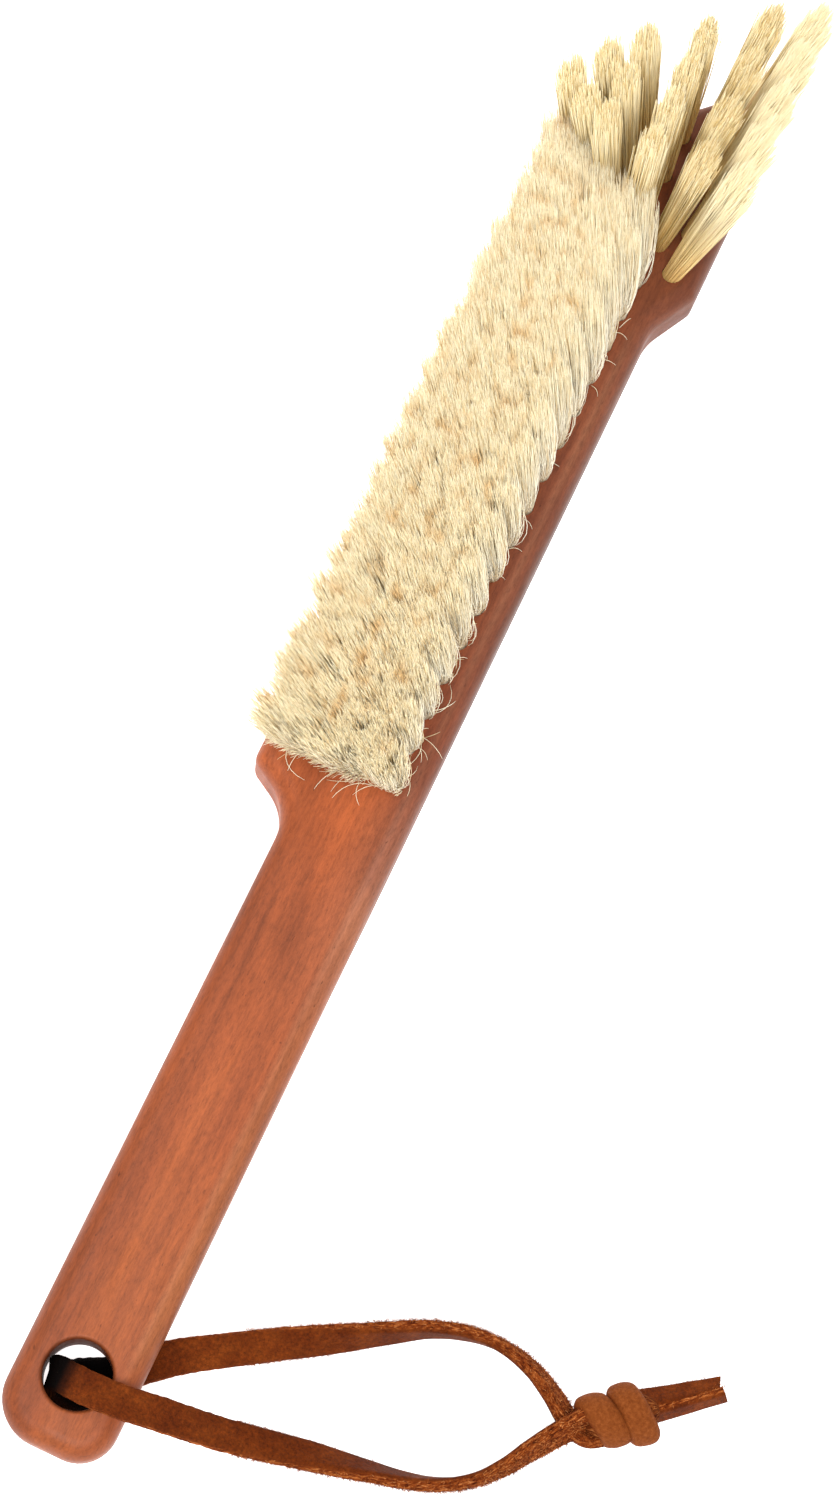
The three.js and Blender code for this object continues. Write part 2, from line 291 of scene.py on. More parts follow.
ROUTE_LOWER_TAIL = [
    (104.5, 40.8, 3.4), (108.2, 43.7, 3.4), (112, 46.9, 3.4), (115.6, 50, 3.4), (118.8, 52.7, 3.4),
]

# Twist is (arc length, degrees), and width is (arc length, share of the full width).
TWIST_FRONT = [
    (0, 0), (14, 0), (30, -10), (46, -16), (60, -34), (72, -62), (84, -80), (96, -94), (106, -112),
    (124, -135),
]
TWIST_BACK = [
    (0, 0), (18, 0), (34, 10), (46, 16), (58, 38), (70, 64), (80, 80), (92, 94), (104, 112), (124, 135),
]
WIDTH_FULL = [(0, 1)]
# The back branch is widened down in the hanging hole, so that the strap with its painted shade fills the dark
# bottom of the hole.
WIDTH_BACK = [(0, 1.2), (4, 1.55), (11, 1.6), (17, 1.15), (26, 1.1), (42, 1)]

HOLE_HEADING = np.array([0.88, 0.475, 0])  # which way the strip faces where it goes straight down
IN_HOLE = 8  # leather this near to the hole's axis is in the hole
CLEAR_OF_WOOD_X = 13  # beyond this the strip lies on the surface, and may not reach below it
FUZZY_FROM = 44  # arc length from which the twisted strip shows its fibrous side

KNOT_START, KNOT_END = np.array([95.2, 35.0, 5.4]), np.array([107.2, 43.9, 5.4])
CORE_START, CORE_END = np.array([94.6, 34.4, 5.0]), np.array([107.6, 44.1, 5.0])

Strip = namedtuple("Strip", "piece centre at along wide thin width thickness")


def curve_through(points, step):
    """Points every `step` millimetres along a smooth curve through the given ones, and their arc lengths."""
    p = np.asarray(points, float)
    p = np.vstack([2 * p[0] - p[1], p, 2 * p[-1] - p[-2]])
    t = np.linspace(0, 1, 20, endpoint=False)[:, None]
    fine = [0.5 * (2 * b + (c - a) * t + (2 * a - 5 * b + 4 * c - d) * t**2 + (3 * b - a - 3 * c + d) * t**3)
            for a, b, c, d in zip(p[:-3], p[1:-2], p[2:-1], p[3:])]
    fine = np.vstack([*fine, p[-2:-1]])
    length = np.concatenate([[0], np.cumsum(np.linalg.norm(np.diff(fine, axis=0), axis=1))])
    at = np.linspace(0, length[-1], max(3, round(length[-1] / step) + 1))
    return np.stack([np.interp(at, length, fine[:, k]) for k in range(3)], 1), at


def strap_section(width, thickness, count=36):
    """A rounded strip's outline as (across, through), and how much each point is on a cut or flesh side."""
    corner = 0.42 * thickness
    half_w, half_t = width / 2 - corner, thickness / 2 - corner
    outline = []
    for k, (sx, sy) in enumerate([(1, -1), (1, 1), (-1, 1), (-1, -1)]):
        for a in np.linspace(-90, 0, 5) + 90 * k:
            outline.append((sx * half_w + corner * math.cos(math.radians(a)),
                            sy * half_t + corner * math.sin(math.radians(a))))
    outline = np.array(outline + outline[:1])
    length = np.concatenate([[0], np.cumsum(np.linalg.norm(np.diff(outline, axis=0), axis=1))])
    at = np.linspace(0, length[-1], count, endpoint=False)
    section = np.stack([np.interp(at, length, outline[:, k]) for k in range(2)], 1)
    grain_side = np.clip((section[:, 1] - 0.15 * thickness) / (0.2 * thickness), 0, 1)
    return section, 1 - grain_side


def strip_directions(centre, at, twist, widths):
    """Directions along, across and through a strip. The one across is stretched where the strip is wider."""
    turn = np.radians(np.interp(at, *zip(*twist)))
    along = unit(np.gradient(centre, axis=0))

    # Where the strip goes straight down it has no heading of its own, so it takes the hole's.
    heading = along * (1, 1, 0)
    heading += HOLE_HEADING * (1 - np.linalg.norm(heading, axis=1, keepdims=True)) * 0.8
    across = unit(np.stack([-heading[:, 1], heading[:, 0], 0 * at], 1))
    across = unit(across - along * (across * along).sum(1, keepdims=True))

    # The grain side faces up, and to the left where the strip is upright.
    normal = np.cross(along, across)
    normal *= np.where(normal[:, 2:] - 0.3 * normal[:, :1] < 0, -1, 1)
    wide = np.cos(turn)[:, None] * across + np.sin(turn)[:, None] * normal
    thin = np.cos(turn)[:, None] * normal - np.sin(turn)[:, None] * across
    return along, wide * np.interp(at, *zip(*widths))[:, None], thin


def light_in_hole(vertices):
    """The share of light that reaches the leather: little down in the hanging hole and at its left side."""
    x, y, z = vertices.T
    light = np.clip((z - 11.5) / 3, 0, 1) * np.clip((x + 2.8) / 3.4, 0, 1)
    light = np.maximum(light, 0.3 * np.clip((-4.2 - y) / 1.5, 0, 1))
    return np.where(np.hypot(x, y) < IN_HOLE, light, 1)


def strap(name, route, twist, material, seed, width=STRAP_WIDTH, thickness=STRAP_THICKNESS,
          widths=WIDTH_FULL, end_cut=0.0):
    """A strip of leather along a route, with rough cut edges. Its end is cut at a slant of `end_cut`."""
    centre, at = curve_through(route, ROUTE_STEP)
    along, wide, thin = strip_directions(centre, at, twist, widths)
    reach = np.abs(wide[:, 2]) * width / 2 + np.abs(thin[:, 2]) * thickness / 2
    resting = np.maximum(centre[:, 2], reach + 0.1)
    centre[:, 2] = np.where(centre[:, 0] > CLEAR_OF_WOOD_X, resting, centre[:, 2])

    section, fuzzy = strap_section(width, thickness)
    flat = centre[:, None] + section[None, :, :1] * wide[:, None] + section[None, :, 1:] * thin[:, None]
    flat = flat.reshape(-1, 3)
    outward = section[None, :, :1] * wide[:, None] / width + section[None, :, 1:] * thin[:, None] / thickness
    wave = 0.16 * rough(flat, 1.3, seed) + 0.10 * rough(flat, 0.55, seed + 1)
    gentle = 0.05 * rough(flat, 3.5, seed + 2)
    weight = np.tile(fuzzy, len(at))
    surface = flat + unit(outward).reshape(-1, 3) * (wave * weight + gentle)[:, None]
    surface = surface.reshape(len(at), -1, 3)
    surface[-4:] += along[-1] * (section[None, :, :1] / width) * end_cut

    vertices, faces = lofted(list(surface))
    girth = 2 * (width + thickness) * np.arange(len(section)) / len(section)
    values = {"fuzzy": weight, "lit": light_in_hole(vertices), "run": np.repeat(at, len(section)),
              "girth": np.tile(girth, len(at))}
    piece = new_piece(name, vertices, *faces_to_loops(faces), material, values)
    return Strip(piece, centre, at, along, wide, thin, width, thickness)


def leather_fuzz(name, strip, material, first, count, seed):
    """Short fibres that stand out of a strip's cut edges and flesh side, from arc length `first` on."""
    draw = np.random.default_rng(seed)
    section, fuzzy = strap_section(strip.width, strip.thickness)
    ring = draw.choice(np.flatnonzero(strip.at >= first), count)
    corner = draw.choice(len(section), count, p=fuzzy / fuzzy.sum())
    along, wide, thin = strip.along[ring], strip.wide[ring], strip.thin[ring]
    base = (strip.centre[ring] + section[corner, :1] * wide + section[corner, 1:] * thin
            + along * draw.uniform(-0.3, 0.3, (count, 1)))
    out = unit(section[corner, :1] * wide / strip.width + section[corner, 1:] * thin / strip.thickness)
    lean = unit(out * draw.uniform(0.2, 1, (count, 1)) + along * draw.normal(0, 0.9, (count, 1))
                + draw.normal(0, 0.35, (count, 3)))
    curl = unit(draw.normal(size=(count, 3)))
    length = draw.uniform(0.35, 1.0, (count, 1, 1))
    s = np.linspace(0, 1, 4)[None, :, None]
    paths = base[:, None] - 0.05 * out[:, None] + length * (lean[:, None] * s + 0.35 * curl[:, None] * s**2)
    paths[..., 2] = np.maximum(paths[..., 2], 0.06)
    radii = np.broadcast_to(np.array([0.055, 0.05, 0.04, 0.02]), (count, 4))
    return strands(name, paths, radii, material, {"tint": draw.random((count, 1))}, seed)


def leather_material():
    """Smooth and speckled on the grain side, coarse on the cut edges and flesh side, and paler on the knot's
    turns. Painted shade darkens it down in the hanging hole and on the knot's core.
    """
    material, tree, shader = new_material("leather", 0.75, Specular_IOR_Level=0.06)
    space = millimetres(tree)
    smooth = ramp(tree, noise(tree, space, 0.16, 5, 0.62),
                  (0.3, srgb(80, 30, 4)), (0.5, srgb(94, 39, 7)), (0.7, srgb(110, 50, 12)))
    speckle = ramp(tree, noise(tree, space, 1.4, 7, 0.85), (0.36, 0.5), (0.5, 1.0), (0.64, 1.6))
    knot_paler = ramp(tree, noise(tree, space, 1.3, 5, 0.7),
                (0.3, srgb(106, 50, 16)), (0.5, srgb(124, 63, 24)), (0.72, srgb(144, 78, 36)))
    smooth = mix(tree, attribute(tree, "knot_paler"), multiply(tree, smooth, speckle), knot_paler)

    run, girth = attribute(tree, "run"), attribute(tree, "girth")
    slanted = math_node(tree, "ADD", math_node(tree, "MULTIPLY", run, 0.5),
                        math_node(tree, "MULTIPLY", girth, 0.4))
    around = math_node(tree, "MULTIPLY", girth, 1.5)
    threads = add_node(tree, "ShaderNodeCombineXYZ", {0: slanted, 1: around}).outputs[0]
    coarse = ramp(tree, noise(tree, threads, 1.1, 6, 0.8, 0.6),
                  (0.36, srgb(42, 10, 2)), (0.47, srgb(104, 42, 12)), (0.55, srgb(148, 74, 28)),
                  (0.66, srgb(214, 136, 76)))

    fuzzy = attribute(tree, "fuzzy")
    # Painted shade: `lit` darkens the leather down in the hanging hole and on the knot's core.
    light = ramp(tree, attribute(tree, "lit"), (0, 0.01), (0.5, 0.3), (1, 1.0))
    colour = multiply(tree, mix(tree, fuzzy, smooth, coarse), light)
    tree.links.new(colour, shader.inputs["Base Color"])
    grain = noise(tree, space, 1.9, 5, 0.65)
    fibre = noise(tree, threads, 1.6, 8, 0.8, 0.6)
    bump(tree, shader, mix(tree, fuzzy, grain, fibre), 0.7, 0.5)
    tree.links.new(ramp(tree, fuzzy, (0, 0.7), (1, 0.95)), shader.inputs["Roughness"])
    return material


def fibre_material():
    material, tree, shader = new_material("leather_fibres", 0.8, Specular_IOR_Level=0.1)
    tint = ramp(tree, attribute(tree, "tint"), (0, srgb(70, 24, 6)), (0.5, srgb(126, 58, 20)),
                (0.8, srgb(168, 92, 42)), (1, srgb(214, 142, 84)))
    tree.links.new(tint, shader.inputs["Base Color"])
    return material


def knot_turn(name, material, share, half_width, half_height, lean, width, seed):
    """One turn of the strip round both branches, at a share of the knot's length. It leans along the knot."""
    axis = unit(KNOT_END - KNOT_START)
    side = np.cross(UP, axis)
    middle = KNOT_START + (KNOT_END - KNOT_START) * share
    section, _ = strap_section(width, TURN_THICKNESS, 40)
    crown = 0.8 * (1 - (2 * section[:, 0] / width) ** 2) * (section[:, 1] > 0)
    through = section[:, 1:] + crown[:, None] - TURN_THICKNESS / 2
    rings = []
    for angle in np.linspace(0, 2 * np.pi, 72, endpoint=False):
        up, out = math.cos(angle), math.sin(angle)
        centre = middle + (up * UP * half_height + out * side * half_width) - axis * lean * out
        outward = unit(up * UP / half_height + out * side / half_width)
        rings.append(centre + section[:, :1] * axis + through * outward)
    rings = np.array(rings)
    flat = rings.reshape(-1, 3)
    wave = 0.12 * rough(flat, 3.2, seed) + 0.04 * rough(flat, 1.1, seed)
    flat = flat + unit(flat - middle) * wave[:, None]
    count, size = rings.shape[:2]
    ring, point = np.meshgrid(np.arange(count), np.arange(size), indexing="ij")
    following, turn = (ring + 1) % count, (point + 1) % size
    quads = np.stack([ring * size + point, ring * size + turn,
                      following * size + turn, following * size + point], -1).reshape(-1, 4)
    fuzzy = 0.7 * np.tile(np.clip((np.abs(section[:, 0]) - 0.46 * width) / (0.04 * width), 0, 1), count)
    ones = np.ones(len(flat))
    return new_piece(name, flat, quads.ravel(), np.arange(len(quads)) * 4, material,
                     {"fuzzy": fuzzy, "lit": ones, "knot_paler": ones})


def knot_core(material):
    """What the turns are wrapped round, closed and seen only between and beside them."""
    levels, sides = 24, 40
    axis = unit(CORE_END - CORE_START)
    side = np.cross(UP, axis)
    rings = []
    for share in np.linspace(0, 1, levels):
        radius = 4.2 * math.sqrt(max(0.02, 1 - abs(2 * share - 1) ** 3))
        rings.append(np.array([
            CORE_START + (CORE_END - CORE_START) * share
            + radius * (math.cos(a) * UP * 0.85 + math.sin(a) * side)
            for a in np.linspace(0, 2 * np.pi, sides, endpoint=False)]))
    vertices, faces = lofted(rings)
    vertices = vertices + 0.2 * rough(vertices, 1.2, 9)[:, None] * side
    ones = np.ones(len(vertices))
    # The core's lit share of 0.75 is painted shade from the turns wrapped round it.
    values = {"fuzzy": ones, "lit": 0.75 * ones, "run": np.repeat(np.linspace(0, 16, levels), sides),
              "girth": np.tile(np.linspace(0, 26, sides), levels)}
    return new_piece("thong_knot_core", vertices, *faces_to_loops(faces), material, values)


def make_thong():
    leather, fibres = leather_material(), fibre_material()
    front = strap("thong_front_strap", ROUTE_FRONT, TWIST_FRONT, leather, seed=1)
    back = strap("thong_back_strap", ROUTE_BACK, TWIST_BACK, leather, seed=5, widths=WIDTH_BACK)
    front_fuzz = leather_fuzz("thong_front_fuzz", front, fibres, first=FUZZY_FROM, count=5200, seed=21)
    back_fuzz = leather_fuzz("thong_back_fuzz", back, fibres, first=FUZZY_FROM, count=5200, seed=22)

    near_turn = knot_turn("thong_knot_near_turn", leather, share=0.25, half_width=5, half_height=4.3,
                          lean=1.8, width=7, seed=31)
    far_turn = knot_turn("thong_knot_far_turn", leather, share=0.66, half_width=5.8, half_height=4.5,
                         lean=1.3, width=6.4, seed=37)
    core = knot_core(leather)

    upper = strap("thong_upper_tail", ROUTE_UPPER_TAIL, [(0, -35)], leather, seed=41,
                  width=TAIL_WIDTH, thickness=TAIL_THICKNESS, widths=[(0, 1), (18, 0.75)], end_cut=1.4)
    lower = strap("thong_lower_tail", ROUTE_LOWER_TAIL, [(0, 66)], leather, seed=43,
                  width=TAIL_WIDTH, thickness=TAIL_THICKNESS, widths=[(0, 1), (18, 0.85)], end_cut=-0.8)
    upper_fuzz = leather_fuzz("thong_upper_tail_fuzz", upper, fibres, first=0, count=500, seed=23)
    lower_fuzz = leather_fuzz("thong_lower_tail_fuzz", lower, fibres, first=0, count=500, seed=24)

    knot_and_tails = [near_turn, far_turn, core, upper.piece, lower.piece, upper_fuzz, lower_fuzz]
    for piece in [front.piece, back.piece, front_fuzz, back_fuzz, *knot_and_tails]:
        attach(piece, "root")
    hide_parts("thong_front")
    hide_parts("thong_back")
    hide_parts("thong_knot")
    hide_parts("thong_tail_upper")
    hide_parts("thong_tail_lower")


# ---------------------------------------------------------------- pearwood body

HANDLE_LEFT, HANDLE_RIGHT, HEAD_RIGHT = -12.5, 12.1, 18
OUTLINE = [  # x, y, corner radius, and 1 for an outer corner or -1 for a hollow one
    (HANDLE_LEFT, HANDLE_END, 9.6, 1), (HANDLE_RIGHT, HANDLE_END, 8, 1), (HANDLE_RIGHT, 259.2, 14, -1),
    (HEAD_RIGHT, 270.8, 3, 1), (HEAD_RIGHT, 334.04, 6.5, 1), (HEAD_LEFT, 290.99, 8, 1),
    (HEAD_LEFT, 129.6, 3, 1), (HANDLE_LEFT, 123.01, 12, -1),
]
EDGE_ROUND = 4.2
HANDLE_LIFT, LIFT_FROM, LIFT_TO = 3.2, 92, 116
HOLE_RADIUS, HOLE_RIM, HOLE_UNDERSIDE = 6.9, 0.9, 1.5
TUFT_HOLE_RADIUS, TUFT_HOLE_FLOOR = 2.2, 6
TONE_LENGTH, TONE_WIDTH = 350, 16  # where the ramps of the wood's painted light and shade reach 1, from the hanging hole's axis

PAD_ROWS, FULL_ROWS = 33, 31
PAD_FIRST_Y, ROW_STEP = 137.2, 4.325
PAD_MIDDLE_X, COLUMN_STEP = -5.85, 9.85
PAD_MIDDLE_Y = PAD_FIRST_Y + ROW_STEP * (FULL_ROWS - 1) / 2

FAN_LEFT_X, COMB_STEP, FAN_TUFT_STEP = -18, 5.8, 11
FAN_COMBS = [  # tufts, nearest root's y, lean to the right, lean to the far end, how much the tips draw apart
    (1, 287, -7.2, -1.2, 1.0), (2, 283.5, -7.6, -1.7, 1.1), (3, 277, -7.6, 1.8, 0.96),
    (4, 272.5, -2.2, 4.2, 0.9), (4, 278, 3.8, 3.6, 1.14), (5, 272.5, 7.2, 5.0, 1.0),
]


def back_height(y):
    """The height of the body's back: lifted under the grip, on the surface under the head."""
    t = np.clip((y - LIFT_FROM) / (LIFT_TO - LIFT_FROM), 0, 1)
    return HANDLE_LIFT * (1 - t * t * (3 - 2 * t))


def sharp_corners(shift):
    """The outline's corners with every side moved inwards by `shift`, one value for each corner."""
    corners = np.array([c[:2] for c in OUTLINE])
    sides = np.roll(corners, -1, 0) - corners
    inward = unit(np.stack([-sides[:, 1], sides[:, 0]], 1))
    moved = []
    for k in range(len(corners)):
        a, b = inward[k - 1], inward[k]
        target = np.array([a @ corners[k] + shift[k], b @ corners[k] + shift[k]])
        moved.append(np.linalg.solve(np.array([a, b]), target))
    return np.array(moved), -inward


def outline_ring(inset):
    """The body's outline, every side moved inwards by `inset`, with its corners rounded."""
    kind = np.array([c[3] for c in OUTLINE])
    radius = np.array([max(c[2] - inset, 0.5) if c[3] > 0 else c[2] + inset for c in OUTLINE])
    centres, outward = sharp_corners(inset + kind * radius)
    arcs = []
    for k in range(len(OUTLINE)):
        a, b = outward[k - 1], outward[k]
        turn = math.atan2(a[0] * b[1] - a[1] * b[0], a @ b)
        start = math.atan2(a[1], a[0])
        angles = start + turn * np.linspace(0, 1, 13)
        arcs.append(centres[k] + kind[k] * radius[k] * np.stack([np.cos(angles), np.sin(angles)], 1))
    ring = []
    for k, arc in enumerate(arcs):
        ring.extend(arc)
        following = arcs[(k + 1) % len(arcs)][0]
        for t in np.linspace(0, 1, 30)[1:-1]:
            ring.append(arc[-1] + (following - arc[-1]) * t)
    return np.array(ring)


def pad_roots():
    """(row number, x, y) of every tuft in the pad: three and two by turns, then one in each last row."""
    roots = []
    for index in range(PAD_ROWS):
        columns = (-1, 0, 1) if index % 2 == 0 else (-0.5, 0.5)
        if index >= FULL_ROWS:
            columns = columns[:1]
        for column in columns:
            roots.append((index + 1, PAD_MIDDLE_X + COLUMN_STEP * column, PAD_FIRST_Y + ROW_STEP * index))
    return roots


def fan_roots():
    """(comb, tuft, root, tip) of every tuft in the fan, on the face and at the tips."""
    tufts = []
    for c, (count, near, lean_x, lean_y, spread) in enumerate(FAN_COMBS):
        middle = near + FAN_TUFT_STEP * (count - 1) / 2
        for k in range(count):
            root = np.array([FAN_LEFT_X + COMB_STEP * c, near + FAN_TUFT_STEP * k])
            tip = np.array([root[0] + lean_x, middle + lean_y + (root[1] - middle) * spread])
            tufts.append((c + 1, k + 1, root, tip))
    return tufts


def round_cutter(cutters, x, y, profile, steps):
    """Adds a closed turned shape to a bmesh: profile is (radius, z) from the bottom up."""
    rings = [[cutters.verts.new(row((x + r * math.cos(a), y + r * math.sin(a), z)))
              for a in np.linspace(0, 2 * np.pi, steps, endpoint=False)] for r, z in profile]
    for lower, upper in zip(rings, rings[1:]):
        for i in range(steps):
            cutters.faces.new((lower[i], lower[(i + 1) % steps], upper[(i + 1) % steps], upper[i]))
    cutters.faces.new(list(reversed(rings[0])))
    cutters.faces.new(rings[-1])


def subtract(piece, cutters):
    mesh = bpy.data.meshes.new("cutters")
    cutters.to_mesh(mesh)
    cutters.free()
    tool = bpy.data.objects.new("cutters", mesh)
    bpy.context.collection.objects.link(tool)
    modifier = piece.modifiers.new("cut", "BOOLEAN")
    modifier.object, modifier.solver = tool, "EXACT"
    settle(piece)
    bpy.data.objects.remove(tool)


def settle(piece):
    """Makes a piece's modifiers part of its mesh."""
    bpy.context.view_layer.update()
    evaluated = piece.evaluated_get(bpy.context.evaluated_depsgraph_get())
    mesh = bpy.data.meshes.new_from_object(evaluated)
    piece.modifiers.clear()
    piece.data = mesh


def wood_grain(tree):
    """Broad bands of red-brown, then streaks, fine threads and dark flecks, all drawn out along the brush."""
    broad = noise(tree, millimetres(tree, 0.18), 0.045, 4, 0.55, 0.5)
    colour = ramp(tree, broad,
                  (0.32, srgb(112, 53, 25)), (0.5, srgb(136, 67, 33)), (0.68, srgb(152, 78, 38)))
    streaks = noise(tree, millimetres(tree, 0.035), 0.75, 5, 0.65, 0.2)
    colour = multiply(tree, colour, ramp(tree, streaks, (0.3, 0.8), (0.5, 1.0), (0.72, 1.12)))
    threads = noise(tree, millimetres(tree, 0.22), 1.9, 6, 0.8)
    colour = multiply(tree, colour, ramp(tree, threads, (0.3, 0.62), (0.5, 1.0), (0.7, 1.26)))
    flecks = noise(tree, millimetres(tree, 0.3), 1.6, 3, 0.6)
    return multiply(tree, colour, ramp(tree, flecks, (0.26, 0.5), (0.34, 1.0), (1, 1.0)))


def painted_shade_in_hole(tree, from_hole):
    """Painted shade: dark on the wall of the hanging hole, and less so on its rim."""
    flat = vector_math(tree, "MULTIPLY", from_hole, (1, 1, 0))[0]
    radius = vector_math(tree, "LENGTH", flat)["Value"]
    centimetres = math_node(tree, "DIVIDE", radius, 10 * MM)
    return ramp(tree, centimetres, (0.69, (0.55, 0.45, 0.3)), (0.71, 0.6), (0.76, 1.0))


def painted_light_along(tree, x, along):
    """Painted light, brightest at the head's near end, and on the strip of wood to the right of the bristles
    painted shade from the pad with a grey painted sheen.
    """
    sideways = math_node(tree, "DIVIDE", x, 25 * MM)
    beside = multiply(tree, ramp(tree, along, (0.22, 0.0), (0.33, 1.0)),
                      ramp(tree, sideways, (0.0, 0.0), (0.32, 1.0)))
    painted_light_open = ramp(tree, along, (0.08, 1.0), (0.2, 1.2), (0.28, 1.18), (0.36, 1.7), (0.42, 1.5), (0.6, 1.0))
    painted_shade_and_sheen = ramp(tree, along, (0.3, (1.05, 1.28, 1.9)), (0.42, (0.92, 0.98, 1.45)),
                  (0.52, (0.84, 0.98, 1.5)), (0.7, (0.68, 0.76, 1.2)), (0.8, (0.56, 0.66, 0.9)))
    return mix(tree, beside, painted_light_open, painted_shade_and_sheen)


def painted_sheen_at_right_edge(tree, right, along):
    """Painted sheen on the rounded right edge, paler and greyer than the face, and on the head painted shade
    that makes its outside darker again.
    """
    grip = ramp(tree, right, (0.47, 1.0), (0.56, (1.14, 1.5, 2.1)), (0.69, (1.0, 1.22, 1.5)),
                (0.76, (0.96, 1.08, 1.2)))
    head = ramp(tree, right, (0.47, 1.0), (0.56, (1.1, 1.4, 1.6)), (0.65, (0.95, 1.0, 1.05)),
                (0.76, (0.7, 0.72, 0.6)))
    edge = mix(tree, ramp(tree, along, (0.34, 0.0), (0.42, 1.0)), grip, head)
    straight_side = ramp(tree, along, (0.0, 0.0), (0.03, 1.0), (0.71, 1.0), (0.74, 0.0))
    return mix(tree, straight_side, (1.0, 1.0, 1.0), edge)


def painted_shade_under_fan(tree, z, right, along):
    """Painted shade where the fan stands, but not on the far end's lower side or its right edge."""
    height = math_node(tree, "DIVIDE", z, FACE_Z * MM)
    clear_of_fan = mix(tree, 1.0, ramp(tree, right, (0.55, 0.0), (0.8, 1.0)),
                       ramp(tree, height, (0.75, 1.0), (0.97, 0.0)), "LIGHTEN")
    under = ramp(tree, along, (0.8, 1.0), (0.85, 0.5), (0.91, 0.36))
    return mix(tree, clear_of_fan, under, (1.0, 1.0, 1.0))


def painted_shade_at_grip_end(tree, x, along):
    """Painted shade, a little darker at the left of the grip's rounded end."""
    left = math_node(tree, "DIVIDE", x, -12 * MM)
    grip = mix(tree, 1.0, ramp(tree, left, (0.4, 1.0), (0.8, 0.92), (1, 0.92)),
               ramp(tree, along, (0.05, 1.0), (0.1, 0.0)), "ADD")
    return mix(tree, 1.0, grip, (1.0, 1.0, 1.0), "DARKEN")


def pearwood():
    """Close-grained waxed pearwood, its grain multiplied by painted light and shade that change from place to
    place.
    """
    material, tree, shader = new_material("pearwood", 0.5, Specular_IOR_Level=0.25)
    from_hole = vector_math(tree, "SUBTRACT", object_place(tree), tuple(row((0, 0, 0))))[0]
    split = add_node(tree, "ShaderNodeSeparateXYZ", {"Vector": from_hole}).outputs
    x, z = split["X"], split["Z"]
    along = math_node(tree, "DIVIDE", split["Y"], TONE_LENGTH * MM)
    right = math_node(tree, "DIVIDE", x, TONE_WIDTH * MM)
    colour = wood_grain(tree)
    for painted_light_and_shade in (painted_shade_in_hole(tree, from_hole), painted_light_along(tree, x, along),
                 painted_sheen_at_right_edge(tree, right, along), painted_shade_under_fan(tree, z, right, along),
                 painted_shade_at_grip_end(tree, x, along)):
        colour = multiply(tree, colour, painted_light_and_shade)
    tree.links.new(colour, shader.inputs["Base Color"])
    bump(tree, shader, noise(tree, millimetres(tree, 0.2), 2.4, 5, 0.7), 0.3, 0.15)
    gloss = noise(tree, millimetres(tree, 0.3), 0.3, 3, 0.5)
    tree.links.new(ramp(tree, gloss, (0.3, 0.45), (0.7, 0.6)), shader.inputs["Roughness"])
    return material


def wood_shell(material):
    """The body without its holes, with rounded edges above and below and a lifted back under the grip."""
    angles = np.linspace(0, np.pi / 2, 11)
    levels = [(EDGE_ROUND * (1 - math.sin(a)), EDGE_ROUND * (1 - math.cos(a))) for a in angles]
    rings = []
    for inset, depth in levels:
        ring = outline_ring(inset)
        rings.append(np.column_stack([ring, back_height(ring[:, 1]) + depth]))
    for inset, depth in reversed(levels):
        ring = outline_ring(inset)
        rings.append(np.column_stack([ring, np.full(len(ring), FACE_Z - depth)]))
    vertices, faces = lofted(rings)
    return new_piece("pearwood_body", vertices, *faces_to_loops(faces), material, {})


def slice_across(body):
    """Cuts the back's one big face into strips, so that it follows the lift, and leaves the face whole."""
    slices = bmesh.new()
    slices.from_mesh(body.data)
    middle_of_grip, head_starts, head_is_full = 60, 123, 131
    for y in (middle_of_grip, *np.linspace(LIFT_FROM, LIFT_TO, 9), head_starts, head_is_full):
        bmesh.ops.bisect_plane(
            slices, geom=slices.verts[:] + slices.edges[:] + slices.faces[:], dist=1e-7,
            plane_co=row((0, y, 0)), plane_no=(0, 1, 0))
    bmesh.ops.dissolve_limit(slices, angle_limit=1e-4, verts=slices.verts[:], edges=[
        e for e in slices.edges if all(abs(v.co.z - FACE_Z * MM) < 1e-7 for v in e.verts)])
    slices.to_mesh(body.data)
    slices.free()


def cut_holes(body):
    """The blind hole of every tuft, and the hanging hole with its rounded rims."""
    above = FACE_Z + 1
    cutters = bmesh.new()
    feet = [(x, y) for _, x, y in pad_roots()] + [tuple(root) for _, _, root, _ in fan_roots()]
    for x, y in feet:
        round_cutter(cutters, x, y, [(TUFT_HOLE_RADIUS, TUFT_HOLE_FLOOR), (TUFT_HOLE_RADIUS, above)], 24)
    turn = np.linspace(0, np.pi / 2, 6)
    profile = [(HOLE_RADIUS + HOLE_UNDERSIDE, 1.0)]
    profile += [(HOLE_RADIUS + HOLE_UNDERSIDE * (1 - math.sin(t)),
                 HANDLE_LIFT + HOLE_UNDERSIDE * (1 - math.cos(t))) for t in turn]
    profile += [(HOLE_RADIUS + HOLE_RIM * (1 - math.sin(t)),
                 FACE_Z - HOLE_RIM * (1 - math.cos(t))) for t in reversed(turn)]
    profile.append((HOLE_RADIUS + HOLE_RIM, above))
    round_cutter(cutters, 0, 0, profile, 96)
    subtract(body, cutters)


def make_wood():
    body = wood_shell(pearwood())
    slice_across(body)
    cut_holes(body)
    for polygon in body.data.polygons:
        polygon.use_smooth = True
    body.data.set_sharp_from_angle(angle=math.radians(35))
    weighted = body.modifiers.new("normals", "WEIGHTED_NORMAL")
    weighted.keep_sharp = True
    settle(body)
    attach(body, "root")
    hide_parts("wood_body")


# ---------------------------------------------------------------- bristles

